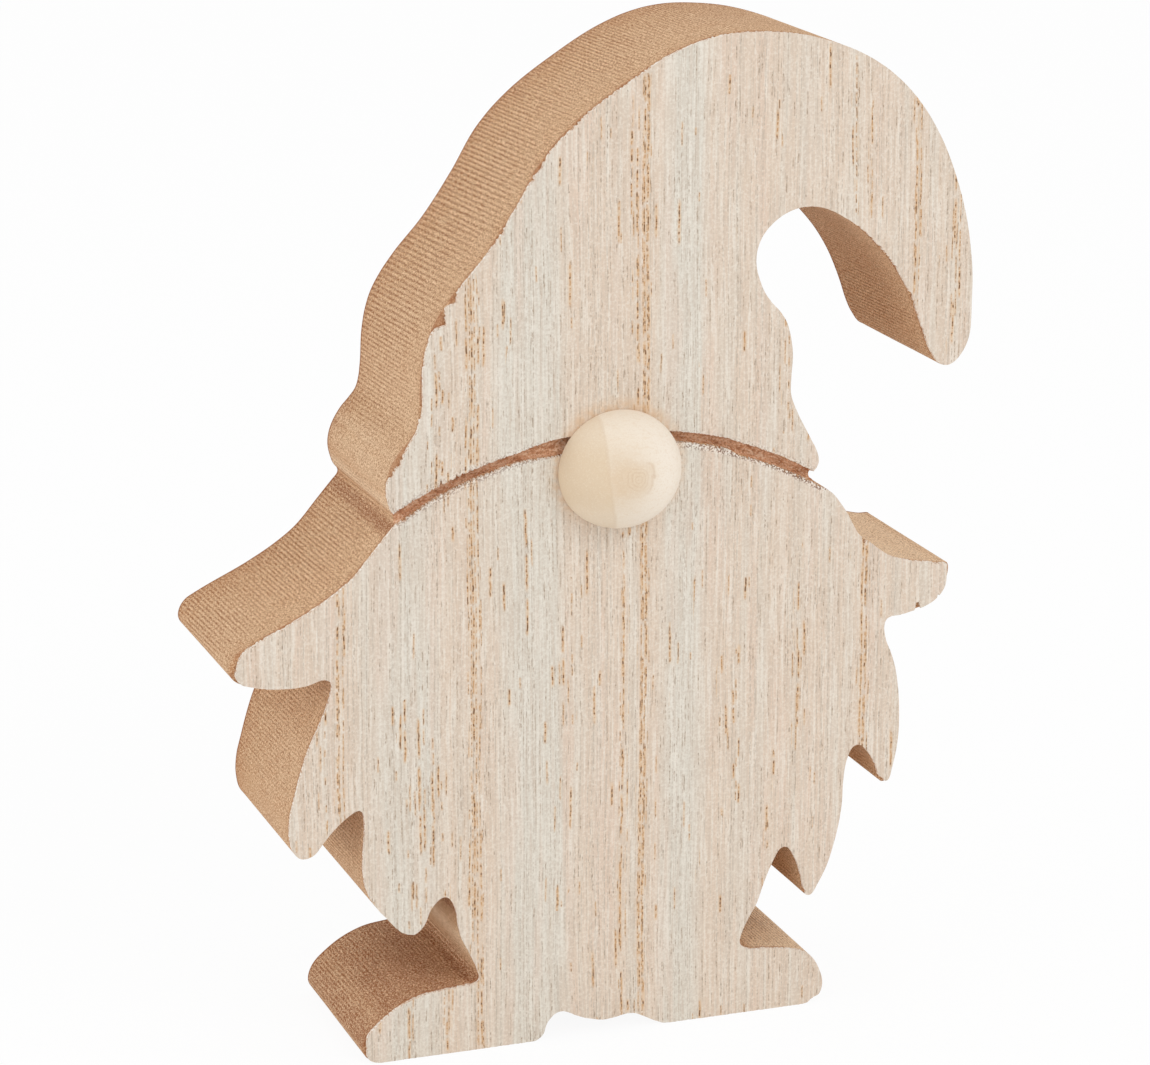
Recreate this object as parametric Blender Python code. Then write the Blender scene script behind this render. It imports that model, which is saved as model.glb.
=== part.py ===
"""A free-standing gnome figure sawn from veneered board, with a button nose.

The blank is a thick fibreboard with a thin wood veneer glued to each face.
The whole outline is cut through board and veneers in one router pass, so all
layers share it. A narrow groove, routed along the hat's brim, runs from side to
side and parts the front veneer into a hat piece and a body piece. The nose is a
turned, domed button, glued flat over the groove.

Metres, +Z up. The figure faces -Y and stands on Z = 0. X = 0 and Y = 0 are the
middle of its overall width and depth.
"""

import math

import bmesh
import bpy
from mathutils import Vector
from mathutils.geometry import interpolate_bezier

MM = 0.001

# Overall size of the sawn figure
FIGURE_HEIGHT = 128.0 * MM
FIGURE_WIDTH = 97.0 * MM
BOARD_THICKNESS = 25.0 * MM

# Layers of the board, and the gap that each glued joint keeps
VENEER_THICKNESS = 0.5 * MM
GLUE_LINE = 0.3 * MM
BACK_ARRIS_EASE = 0.25 * MM

# Brim groove: a round-nosed slot on an arc that rises between the two notches
# and runs a little past them
GROOVE_WIDTH = 1.3 * MM
GROOVE_DEPTH = 1.5 * MM
GROOVE_OVERRUN = 1.2 * MM
BRIM_RISE = 7.5 * MM

# Nose: a domed button, set a little to one side of the brim's crest and below
# it. It was turned round, but the wood has shrunk more up and down than across.
NOSE_WIDTH = 15.8 * MM
NOSE_HEIGHT = 14.9 * MM
NOSE_PROJECTION = 6.5 * MM
NOSE_SIDE_OFFSET = 1.1 * MM
NOSE_BELOW_CREST = 3.8 * MM
NOSE_RIM_EASE = 0.3 * MM

# Fineness of the curves
OUTLINE_TURN = math.radians(10.0)
HANDLE_SHARE = 0.36
GROOVE_ARC_STEPS = 36
GROOVE_ROUND_STEPS = 6
NOSE_SEGMENTS = 48
NOSE_PROFILE_STEPS = 9
NOSE_SHARP_ANGLE = math.radians(40.0)
WELD_DISTANCE = 0.001 * MM

# How far a cutter reaches past what it cuts
CUTTER_MARGIN = 4.0 * MM

# The sawn outline, clockwise as seen from the front, drawn on a sheet in
# millimetres with the floor at 0. Only its shape counts: it is fitted to the
# figure's width and height. A smooth curve runs through all the points.

# The hat, from the left notch over the crown and the hooked tip to the right
HAT_BRIM_LEFT = [(-27.4, 70.7), (-28.0, 71.7), (-28.5, 73.1), (-28.7, 74.6), (-28.2, 76.8)]
HAT_BACK = [(-26.9, 79.0), (-25.0, 81.3), (-24.4, 84.2), (-24.1, 89.0)]
HAT_SLOPE = [(-23.0, 93.5), (-20.1, 98.1), (-16.2, 102.6), (-12.4, 108.1), (-9.0, 113.7)]
HAT_CROWN = [(-5.0, 117.9), (1.0, 122.2), (7.5, 125.9), (13.5, 127.8), (20.0, 128.0)]
HAT_SHOULDER = [(28.0, 126.5), (35.3, 123.1), (41.2, 117.3), (45.7, 108.5), (47.9, 100.0)]
HOOK_TIP = [(48.4, 92.5), (47.6, 86.6), (45.0, 84.6), (43.0, 86.5), (41.4, 90.4)]
HOOK_INSIDE = [(38.8, 96.0), (35.6, 100.2), (31.0, 104.2), (26.0, 106.1), (21.5, 104.7)]
HOOK_ROOT = [(19.0, 101.0), (20.0, 96.0), (23.1, 91.9), (24.1, 87.5), (24.0, 82.5)]
HAT_BRIM_RIGHT = [(26.2, 77.7), (28.0, 73.6), (27.3, 71.3)]

# The right side: arm and hand, the beard's two locks, foot
RIGHT_ARM = [(29.9, 69.3), (32.2, 66.3), (33.9, 63.4), (35.5, 62.2), (38.5, 60.1), (45.5, 58.2)]
RIGHT_HAND = [(46.5, 57.3), (46.3, 55.6), (44.7, 53.6), (39.9, 52.1), (38.2, 51.8)]
OUTER_LOCK = [(37.8, 50.8), (39.4, 45.6), (40.3, 39.0), (39.6, 31.5), (38.8, 29.8)]
OUTER_LOCK_NOTCH = [(37.9, 30.8), (36.2, 33.8), (34.4, 35.1), (33.1, 33.2), (32.6, 27.4)]
INNER_LOCK = [(31.5, 21.5), (29.6, 16.8), (28.1, 15.2), (27.3, 17.3), (26.2, 20.6)]
INNER_LOCK_NOTCH = [(24.6, 22.3), (23.2, 20.7), (20.9, 14.8), (19.1, 11.4)]
RIGHT_FOOT = [(18.9, 9.6), (23.2, 8.5), (28.2, 7.2), (30.1, 4.6), (30.5, 2.0), (29.5, 0.5)]
RIGHT_SOLE = [(27.2, 0.0), (9.0, 0.0)]

# Between the feet, then the left side: foot, two locks, hand and arm
INSTEP = [(6.9, 0.7), (4.2, 2.0), (0.0, 1.7), (-3.0, 2.5), (-6.0, 3.6), (-7.5, 2.4), (-8.2, 0.7)]
LEFT_SOLE = [(-9.6, 0.0), (-29.4, 0.0)]
LEFT_FOOT = [(-31.3, 0.8), (-31.7, 3.0), (-29.3, 5.9), (-24.4, 8.4), (-18.8, 9.0), (-16.8, 9.4)]
LOWER_LOCK_NOTCH = [(-17.0, 10.9), (-19.2, 15.8), (-20.3, 20.4), (-21.3, 21.2), (-22.8, 20.2)]
LOWER_LOCK = [(-24.3, 17.4), (-25.6, 16.7), (-28.9, 19.3), (-31.5, 23.4), (-31.9, 28.5)]
UPPER_LOCK_NOTCH = [(-31.7, 32.4), (-32.2, 33.9), (-33.9, 33.3), (-36.8, 30.5), (-38.5, 28.7)]
UPPER_LOCK = [(-40.1, 28.7), (-41.3, 31.8), (-40.6, 36.5), (-38.6, 43.0), (-35.9, 49.6)]
LEFT_HAND = [(-36.0, 51.1), (-39.5, 50.8), (-45.4, 51.3), (-48.3, 52.9), (-48.0, 55.0)]
LEFT_ARM = [(-45.6, 56.7), (-38.9, 60.0), (-33.3, 63.7), (-30.1, 67.3), (-28.2, 69.5)]

OUTLINE_SHEET = (
    HAT_BRIM_LEFT + HAT_BACK + HAT_SLOPE + HAT_CROWN + HAT_SHOULDER + HOOK_TIP + HOOK_INSIDE
    + HOOK_ROOT + HAT_BRIM_RIGHT + RIGHT_ARM + RIGHT_HAND + OUTER_LOCK + OUTER_LOCK_NOTCH
    + INNER_LOCK + INNER_LOCK_NOTCH + RIGHT_FOOT + RIGHT_SOLE + INSTEP + LEFT_SOLE + LEFT_FOOT
    + LOWER_LOCK_NOTCH + LOWER_LOCK + UPPER_LOCK_NOTCH + UPPER_LOCK + LEFT_HAND + LEFT_ARM
)

# Where the middle of the brim's groove runs out, in the two notches between
# hat and arms
LEFT_GROOVE_END = (-27.7, 71.3)
RIGHT_GROOVE_END = (27.6, 71.2)

# Depth of each layer, worked out from the back face forward to the nose
OVERALL_DEPTH = BOARD_THICKNESS + GLUE_LINE + NOSE_PROJECTION
BACK_Y = OVERALL_DEPTH / 2
FRONT_Y = BACK_Y - BOARD_THICKNESS
CORE_FRONT_Y = FRONT_Y + VENEER_THICKNESS + GLUE_LINE
CORE_BACK_Y = BACK_Y - VENEER_THICKNESS - GLUE_LINE


def clear_scene():
    for old in list(bpy.data.objects):
        bpy.data.objects.remove(old, do_unlink=True)


def wood_material(name, colour, roughness):
    material = bpy.data.materials.new(name)
    material.use_nodes = True
    shader = material.node_tree.nodes["Principled BSDF"]
    shader.inputs["Base Color"].default_value = (*colour, 1.0)
    shader.inputs["Roughness"].default_value = roughness
    shader.inputs["Metallic"].default_value = 0.0
    return material


def add_object(name, mesh, material=None):
    piece = bpy.data.objects.new(name, mesh)
    bpy.context.scene.collection.objects.link(piece)
    if material:
        mesh.materials.append(material)
    return piece


def finish_mesh(shell, name):
    """Turn a closed bmesh into a mesh whose faces point out."""
    bmesh.ops.recalc_face_normals(shell, faces=shell.faces)
    mesh = bpy.data.meshes.new(name)
    shell.to_mesh(mesh)
    shell.free()
    return mesh


def smooth_loop(points):
    """Run a closed Bezier curve through the points, split finely where it turns.

    The tangent at a point halves the turn between its two neighbours. A point
    on the floor belongs to a flat sole, so the curve runs level there.
    """
    count = len(points)
    tangents = []
    for i, point in enumerate(points):
        before = (point - points[i - 1]).normalized()
        after = (points[(i + 1) % count] - point).normalized()
        tangent = (before + after).normalized()
        if point.y == 0.0:
            tangent = Vector((math.copysign(1.0, tangent.x), 0.0))
        tangents.append(tangent)
    loop = []
    for i, start in enumerate(points):
        after = (i + 1) % count
        end = points[after]
        chord = end - start
        handle = chord.length * HANDLE_SHARE
        turn = tangents[i].angle(chord) + tangents[after].angle(chord)
        steps = max(1, math.ceil(turn / OUTLINE_TURN))
        curve = interpolate_bezier(
            start, start + tangents[i] * handle, end - tangents[after] * handle, end, steps + 1
        )
        loop.extend(curve[:-1])
    return loop


class SawnOutline:
    """The smooth outline as (x, z) points, fitted from the sheet to real size."""

    def __init__(self):
        sheet = smooth_loop([Vector(point) for point in OUTLINE_SHEET])
        low_x = min(point.x for point in sheet)
        high_x = max(point.x for point in sheet)
        self.middle_x = (low_x + high_x) / 2
        self.x_scale = FIGURE_WIDTH / (high_x - low_x)
        self.z_scale = FIGURE_HEIGHT / max(point.y for point in sheet)
        self.loop = [self.place(point) for point in sheet]

    def place(self, point):
        x, z = point
        return Vector(((x - self.middle_x) * self.x_scale, z * self.z_scale))


def slab(name, loop, front_y, back_y):
    """Extrude a closed (x, z) loop from one depth to another."""
    shell = bmesh.new()
    front = [shell.verts.new((p.x, front_y, p.y)) for p in loop]
    face = shell.faces.new(front)
    swept = bmesh.ops.extrude_face_region(shell, geom=[face])
    moved = [item for item in swept["geom"] if isinstance(item, bmesh.types.BMVert)]
    bmesh.ops.translate(shell, verts=moved, vec=(0.0, back_y - front_y, 0.0))
    return finish_mesh(shell, name)


class BrimArc:
    """The arc that the groove's centre line follows, a little past each notch."""

    def __init__(self, outline):
        left = outline.place(LEFT_GROOVE_END)
        right = outline.place(RIGHT_GROOVE_END)
        chord = right - left
        half = chord.length / 2
        self.radius = (half**2 + BRIM_RISE**2) / (2 * BRIM_RISE)
        up = Vector((-chord.y, chord.x)).normalized()
        self.crest = (left + right) / 2 + up * BRIM_RISE
        self.centre = self.crest - up * self.radius
        self.half_angle = math.asin(half / self.radius) + GROOVE_OVERRUN / self.radius
        self.tilt = math.atan2(chord.y, chord.x)

    def point(self, angle, radius):
        """A point at an angle from the crest, positive towards the right."""
        turned = math.pi / 2 + self.tilt - angle
        return self.centre + Vector((math.cos(turned), math.sin(turned))) * radius

    def run(self, radius):
        """Points along the whole arc, from left to right."""
        step = 2 * self.half_angle / GROOVE_ARC_STEPS
        angles = [i * step - self.half_angle for i in range(GROOVE_ARC_STEPS + 1)]
        return [self.point(angle, radius) for angle in angles]


def make_cutter(name, mesh):
    cutter = add_object(name, mesh)
    cutter.hide_render = True
    cutter.display_type = "WIRE"
    return cutter


def cut(piece, cutter):
    modifier = piece.modifiers.new("cut by " + cutter.name, "BOOLEAN")
    modifier.operation = "DIFFERENCE"
    modifier.solver = "EXACT"
    modifier.object = cutter


def veneer_cutter(name, arc, radius, far_z):
    """A block whose one side follows a lip of the groove.

    Past the groove's ends the side runs out level, between the hat and the arms,
    and the block then fills everything up or down to far_z.
    """
    lip = arc.run(radius)
    reach = FIGURE_WIDTH
    loop = [Vector((-reach, lip[0].y)), *lip, Vector((reach, lip[-1].y))]
    loop += [Vector((reach, far_z)), Vector((-reach, far_z))]
    block = slab(name, loop, FRONT_Y - CUTTER_MARGIN, CORE_FRONT_Y)
    return make_cutter(name, block)


def groove_cutter(arc):
    """Sweep the round-nosed slot's section along the brim's arc."""
    radius = GROOVE_WIDTH / 2
    floor_y = FRONT_Y + GROOVE_DEPTH
    section = [(radius, FRONT_Y - CUTTER_MARGIN)]
    for i in range(GROOVE_ROUND_STEPS + 1):
        angle = math.pi * i / GROOVE_ROUND_STEPS
        section.append((radius * math.cos(angle), floor_y - radius + radius * math.sin(angle)))
    section.append((-radius, FRONT_Y - CUTTER_MARGIN))
    shell = bmesh.new()
    ring = []
    for across, y in section:
        point = arc.point(-arc.half_angle, arc.radius + across)
        ring.append(shell.verts.new((point.x, y, point.y)))
    face = shell.faces.new(ring)
    geometry = [face, *face.edges, *face.verts]
    bmesh.ops.spin(
        shell,
        geom=geometry,
        cent=(arc.centre.x, 0.0, arc.centre.y),
        axis=(0.0, 1.0, 0.0),
        angle=2 * arc.half_angle,
        steps=GROOVE_ARC_STEPS,
    )
    bmesh.ops.remove_doubles(shell, verts=shell.verts, dist=WELD_DISTANCE)
    return make_cutter("groove_cutter", finish_mesh(shell, "groove_cutter"))


def make_core_board(loop, groove, material):
    """The thick fibreboard, with the brim's groove cut into its front."""
    core = add_object("core_board", slab("core_board", loop, CORE_FRONT_Y, CORE_BACK_Y), material)
    cut(core, groove)


def make_front_veneer(name, loop, far_side, material):
    """The part of the front veneer that lies on one side of the groove."""
    veneer = add_object(name, slab(name, loop, FRONT_Y, FRONT_Y + VENEER_THICKNESS), material)
    cut(veneer, far_side)


def make_back_veneer(loop, material):
    """The balancing veneer on the back, whose outer edge is sanded off a little."""
    mesh = slab("back_veneer", loop, BACK_Y - VENEER_THICKNESS, BACK_Y)
    weights = mesh.attributes.new("bevel_weight_edge", "FLOAT", "EDGE")
    for edge in mesh.edges:
        ends = [mesh.vertices[index].co.y for index in edge.vertices]
        on_back = min(ends) > BACK_Y - VENEER_THICKNESS / 2
        weights.data[edge.index].value = 1.0 if on_back else 0.0
    veneer = add_object("back_veneer", mesh, material)
    ease = veneer.modifiers.new("sanded edge", "BEVEL")
    ease.limit_method = "WEIGHT"
    ease.width = min(BACK_ARRIS_EASE, VENEER_THICKNESS / 2)
    ease.segments = 1


def make_nose(arc, material):
    """A turned button on the brim: its flat side is glued over the groove."""
    radius = NOSE_WIDTH / 2
    ease = min(NOSE_RIM_EASE, radius / 4, NOSE_PROJECTION / 4)
    profile = [(0.0, 0.0), (radius - ease, 0.0)]
    for i in range(NOSE_PROFILE_STEPS):
        angle = math.pi / 2 * i / NOSE_PROFILE_STEPS
        out = ease + (NOSE_PROJECTION - ease) * math.sin(angle)
        profile.append((radius * math.cos(angle), out))
    profile.append((0.0, NOSE_PROJECTION))
    shell = bmesh.new()
    rim = [shell.verts.new((across, 0.0, out)) for across, out in profile]
    edges = [shell.edges.new(pair) for pair in zip(rim, rim[1:])]
    bmesh.ops.spin(
        shell,
        geom=[*rim, *edges],
        cent=(0.0, 0.0, 0.0),
        axis=(0.0, 0.0, 1.0),
        angle=2 * math.pi,
        steps=NOSE_SEGMENTS,
        use_merge=True,
    )
    bmesh.ops.remove_doubles(shell, verts=shell.verts, dist=WELD_DISTANCE)
    shrunk = (1.0, NOSE_HEIGHT / NOSE_WIDTH, 1.0)
    bmesh.ops.scale(shell, vec=shrunk, verts=shell.verts)
    mesh = finish_mesh(shell, "nose")
    mesh.shade_smooth()
    mesh.set_sharp_from_angle(angle=NOSE_SHARP_ANGLE)
    nose = add_object("nose", mesh, material)
    nose.rotation_euler = (math.pi / 2, 0.0, 0.0)
    nose.location = (
        arc.crest.x + NOSE_SIDE_OFFSET,
        FRONT_Y - GLUE_LINE,
        arc.crest.y - NOSE_BELOW_CREST,
    )


def build():
    clear_scene()
    fibreboard = wood_material("fibreboard", (0.56, 0.34, 0.20), 0.85)
    veneer_wood = wood_material("whitewashed veneer", (0.72, 0.59, 0.47), 0.75)
    turned_wood = wood_material("turned pale wood", (0.80, 0.66, 0.51), 0.60)
    outline = SawnOutline()
    arc = BrimArc(outline)
    lip_offset = GROOVE_WIDTH / 2
    below = -CUTTER_MARGIN
    above = FIGURE_HEIGHT + CUTTER_MARGIN
    below_hat = veneer_cutter("below_hat_cutter", arc, arc.radius + lip_offset, below)
    above_body = veneer_cutter("above_body_cutter", arc, arc.radius - lip_offset, above)
    make_core_board(outline.loop, groove_cutter(arc), fibreboard)
    make_front_veneer("hat_veneer", outline.loop, below_hat, veneer_wood)
    make_front_veneer("body_veneer", outline.loop, above_body, veneer_wood)
    make_back_veneer(outline.loop, veneer_wood)
    make_nose(arc, turned_wood)


build()
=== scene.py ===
import math

import bmesh
import bpy
import numpy as np
from mathutils import Matrix, Vector


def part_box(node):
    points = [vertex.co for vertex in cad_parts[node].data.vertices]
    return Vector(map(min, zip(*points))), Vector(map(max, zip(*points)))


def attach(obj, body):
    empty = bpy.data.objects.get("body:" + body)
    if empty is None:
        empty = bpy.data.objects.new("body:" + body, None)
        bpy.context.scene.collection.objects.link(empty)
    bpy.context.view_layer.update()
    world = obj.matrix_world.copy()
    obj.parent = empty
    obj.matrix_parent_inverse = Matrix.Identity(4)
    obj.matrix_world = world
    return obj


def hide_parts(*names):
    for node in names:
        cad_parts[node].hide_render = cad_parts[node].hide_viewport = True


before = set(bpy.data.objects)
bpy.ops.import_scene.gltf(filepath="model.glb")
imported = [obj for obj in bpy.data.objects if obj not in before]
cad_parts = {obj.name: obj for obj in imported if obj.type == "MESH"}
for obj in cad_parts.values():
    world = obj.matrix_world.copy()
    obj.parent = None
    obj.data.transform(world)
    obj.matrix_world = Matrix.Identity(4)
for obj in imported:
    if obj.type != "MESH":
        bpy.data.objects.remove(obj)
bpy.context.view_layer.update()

# Core board
# The gnome is sawn out of one 25 mm fibreboard. The bit leaves a fine rib for
# each bite it takes, and scorches the fibre where it slows down in a notch.
# The ribs' hollows, notches and creases also get painted shade, and some
# faces painted light.
# Lengths on the pieces are in millimetres, and MM turns them into metres.

MM = 0.001
# Points nearer to each other than this, in metres, are one point
WELD = 0.00001
# A straight run that is longer than this is a sole
SOLE_RUN = 10.0
# The way from point to point along the finished outline
EDGE_STEP = 0.1

veneer_low, veneer_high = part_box("body_veneer")
back_low, back_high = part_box("back_veneer")
FACE_Y = veneer_low.y / MM
CORE_FRONT = veneer_high.y / MM
CORE_BACK = back_low.y / MM
BACK_Y = back_high.y / MM


def back_rim(node):
    """The outline of a node's back face, clockwise from the front, as (x, z)."""
    shell = bmesh.new()
    shell.from_mesh(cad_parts[node].data)
    bmesh.ops.remove_doubles(shell, verts=shell.verts, dist=WELD)
    back = max(vert.co.y for vert in shell.verts)
    flat = {face for face in shell.faces if all(back - v.co.y < WELD for v in face.verts)}
    after = {}
    for face in flat:
        for corner in face.loops:
            if any(other not in flat for other in corner.edge.link_faces):
                after[corner.vert] = corner.link_loop_next.vert
    vert = next(iter(after))
    rim = []
    for _ in after:
        rim.append((vert.co.x / MM, vert.co.z / MM))
        vert = after[vert]
    shell.free()
    return np.array(rim)


def smooth_rim(corners, step):
    """Curve a closed outline through its corners, with a point at every step.

    The tangent at a corner is that of the circle through it and its neighbours.
    The two long straight runs are the soles, and stay straight.
    """
    chord = np.roll(corners, -1, 0) - corners
    length = np.hypot(*chord.T)
    along = chord / length[:, None]
    along_before, length_before = np.roll(along, 1, 0), np.roll(length, 1)
    tangent = along_before * length[:, None] + along * length_before[:, None]
    sole = length > SOLE_RUN
    tangent[sole] = along[sole]
    sole_end = np.roll(sole, 1)
    tangent[sole_end] = along_before[sole_end]
    tangent /= np.hypot(*tangent.T)[:, None]
    dense = []
    for i, start in enumerate(corners):
        j = (i + 1) % len(corners)
        handle = length[i] / 3
        pulls = [start, start + tangent[i] * handle, corners[j] - tangent[j] * handle, corners[j]]
        t = np.arange(0.0, 1.0, step / 3 / length[i])[:, None]
        shares = [(1 - t) ** 3, 3 * t * (1 - t) ** 2, 3 * t**2 * (1 - t), t**3]
        dense.append(sum(share * pull for share, pull in zip(shares, pulls)))
    dense = np.concatenate(dense)
    closed = np.vstack([dense, dense[:1]])
    run = np.concatenate([[0.0], np.cumsum(np.hypot(*np.diff(closed, axis=0).T))])
    even = np.linspace(0.0, run[-1], round(run[-1] / step) + 1)[:-1]
    return np.stack([np.interp(even, run, closed[:, axis]) for axis in (0, 1)], 1)


def outward(points):
    """Unit normals of a clockwise outline."""
    tangent = np.roll(points, -1, 0) - np.roll(points, 1, 0)
    normal = np.stack([-tangent[:, 1], tangent[:, 0]], 1)
    return normal / np.hypot(*normal.T)[:, None]


def wander(count, spacing, seed):
    """A smooth random line of count values from -1 to 1 that closes on itself."""
    rng = np.random.default_rng(seed)
    knots = rng.uniform(-1.0, 1.0, max(4, round(count / spacing)))
    at = np.arange(count) * len(knots) / count
    low = at.astype(int)
    share = at - low
    share = share * share * (3 - 2 * share)
    return knots[low % len(knots)] * (1 - share) + knots[(low + 1) % len(knots)] * share


def add_object(name, data):
    """A new object in the scene."""
    added = bpy.data.objects.new(name, data)
    bpy.context.scene.collection.objects.link(added)
    return added


def make_piece(name, mesh, materials, slot, *nodes):
    """Put a finished mesh in the scene in place of its CAD nodes."""
    piece = add_object(name, mesh)
    for material in materials:
        mesh.materials.append(material)
    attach(piece, "root")
    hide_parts(*nodes)
    return piece


def mesh_of(name, points, faces):
    """A mesh from points in millimetres."""
    mesh = bpy.data.meshes.new(name)
    mesh.from_pydata((np.array(points) * MM).tolist(), [], faces)
    return mesh


def tube_faces(rings, count):
    """Walls between rings of count points, then a face at the first ring and the last."""
    faces = []
    for ring in range(rings - 1):
        low, high = ring * count, (ring + 1) * count
        for i in range(count):
            j = (i + 1) % count
            faces.append((low + i, low + j, high + j, high + i))
    last = (rings - 1) * count
    return [*faces, tuple(reversed(range(count))), tuple(range(last, last + count))]


def tone(red, green, blue):
    """A colour named as a screen shows it, 0 to 255, as Blender's linear values."""
    linear = [((v / 255 + 0.055) / 1.055) ** 2.4 for v in (red, green, blue)]
    return (*linear, 1.0)


WOOD_SPECULAR = 0.25


class Finish:
    """A node material on a Principled shader, with short calls for its maths."""

    def __init__(self, name, roughness):
        self.material = bpy.data.materials.new(name)
        self.material.use_nodes = True
        self.tree = self.material.node_tree
        self.shader = self.tree.nodes["Principled BSDF"]
        self.shader.inputs["Roughness"].default_value = roughness
        self.shader.inputs["Specular IOR Level"].default_value = WOOD_SPECULAR
        metres = self.add("TexCoord", {}, "Object")
        self.place = self.add("VectorMath", {0: metres, "Scale": 1 / MM}, operation="SCALE")
        split = self.tree.nodes.new("ShaderNodeSeparateXYZ")
        self.feed(split.inputs[0], self.place)
        self.x, self.y, self.z = split.outputs

    def feed(self, socket, value):
        """Link another node's output to a socket, or set the socket to a plain value."""
        if isinstance(value, bpy.types.NodeSocket):
            self.tree.links.new(value, socket)
        else:
            socket.default_value = value

    def add(self, kind, inputs, output=0, **settings):
        """Make a node, set it up and feed its inputs. Return one of its outputs."""
        node = self.tree.nodes.new("ShaderNode" + kind)
        for name, value in settings.items():
            setattr(node, name, value)
        for socket, value in inputs.items():
            self.feed(node.inputs[socket], value)
        return node.outputs[output]

    def math(self, operation, *values, clamp=False):
        return self.add("Math", dict(enumerate(values)), operation=operation, use_clamp=clamp)

    def times(self, first, second):
        return self.math("MULTIPLY", first, second)

    def plus(self, first, second):
        return self.math("ADD", first, second)

    def minus(self, first, second):
        return self.math("SUBTRACT", first, second)

    def vector(self, x, y, z):
        return self.add("CombineXYZ", {0: x, 1: y, 2: z})

    def noise(self, place, scale, detail=2.0, rough=0.5):
        """Soft noise from 0 to 1, at about scale cycles a millimetre."""
        inputs = {"Vector": place, "Scale": scale, "Detail": detail, "Roughness": rough}
        return self.add("TexNoise", inputs, "Fac")

    def ease(self, value, low, high, out_low=0.0, out_high=1.0):
        """Carry a value smoothly from one range to another, and stop at its ends."""
        names = ("Value", "From Min", "From Max", "To Min", "To Max")
        inputs = dict(zip(names, (value, low, high, out_low, out_high)))
        return self.add("MapRange", inputs, "Result", interpolation_type="SMOOTHSTEP")

    def ramp(self, value, stops):
        node = self.tree.nodes.new("ShaderNodeValToRGB")
        self.feed(node.inputs["Fac"], value)
        elements = node.color_ramp.elements
        while len(elements) < len(stops):
            elements.new(1.0)
        for element, (position, colour) in zip(elements, stops):
            element.position = position
            element.color = colour
        return node.outputs["Color"]

    def mix(self, share, first, second):
        """Blend two colours: a share of 0 gives the first, and 1 the second."""
        return self.add("Mix", {"Factor": share, 6: first, 7: second}, 2, data_type="RGBA")

    def tint(self, body, value, low, high, share, colour):
        """Bring in a colour, up to a share, as a value goes from low to high."""
        return self.mix(self.ease(value, low, high, 0.0, share), body, colour)

    def mottle(self, body, noise, start, full, share, dark, light):
        """Darken a colour where a noise runs high, and lighten it where it runs low.

        The change sets in at start above or below the noise's middle, and reaches
        its share at full.
        """
        body = self.tint(body, noise, 0.5 + start, 0.5 + full, share, dark)
        return self.tint(body, noise, 0.5 - start, 0.5 - full, share, light)

    def attribute(self, name):
        return self.add("Attribute", {}, "Fac", attribute_name=name)

    def round_a_point(self, middle):
        """Each place's distance from a point of the face, and its angle past the top."""
        x = self.minus(self.x, float(middle[0]))
        z = self.minus(self.z, float(middle[1]))
        squares = self.plus(self.times(x, x), self.times(z, z))
        return self.math("SQRT", squares), self.math("ARCTAN2", x, z)

    def dress(self, colour, height, relief):
        """Give the shader its colour, and a relief in millimetres as bump."""
        self.feed(self.shader.inputs["Base Color"], colour)
        inputs = {"Strength": 1.0, "Distance": relief * MM, "Height": height}
        self.feed(self.shader.inputs["Normal"], self.add("Bump", inputs, "Normal"))
        return self.material


BOARD_TONES = [
    (0.00, tone(202, 158, 118)), (0.06, tone(215, 177, 139)), (0.45, tone(213, 174, 136)),
    (0.75, tone(205, 163, 122)), (0.92, tone(191, 140, 97)), (1.00, tone(174, 116, 72)),
]
DENSE_FIBRE = tone(200, 150, 108)
# Scorched fibre that also stands for painted shade, and fibre in painted light
SCORCH_AND_SHADE_FIBRE = tone(142, 78, 40)
PAINTED_LIGHT_FIBRE = tone(250, 224, 190)
# Painted shade for the ribs' hollows and a painted highlight for their crests
RIB_HOLLOW_SHADE = tone(144, 92, 56)
RIB_CREST_HIGHLIGHT = tone(238, 200, 160)
DARK_FIBRE = tone(154, 104, 66)
LIGHT_FIBRE = tone(244, 210, 172)
DARK_SPECK = tone(130, 80, 48)
LIGHT_SPECK = tone(252, 220, 180)
BOARD_SKIN = tone(170, 118, 84)
FIBRE_FINENESS = 4.6
SPECK_FINENESS = 5.4
FIBRE_RELIEF = 0.08


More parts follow.
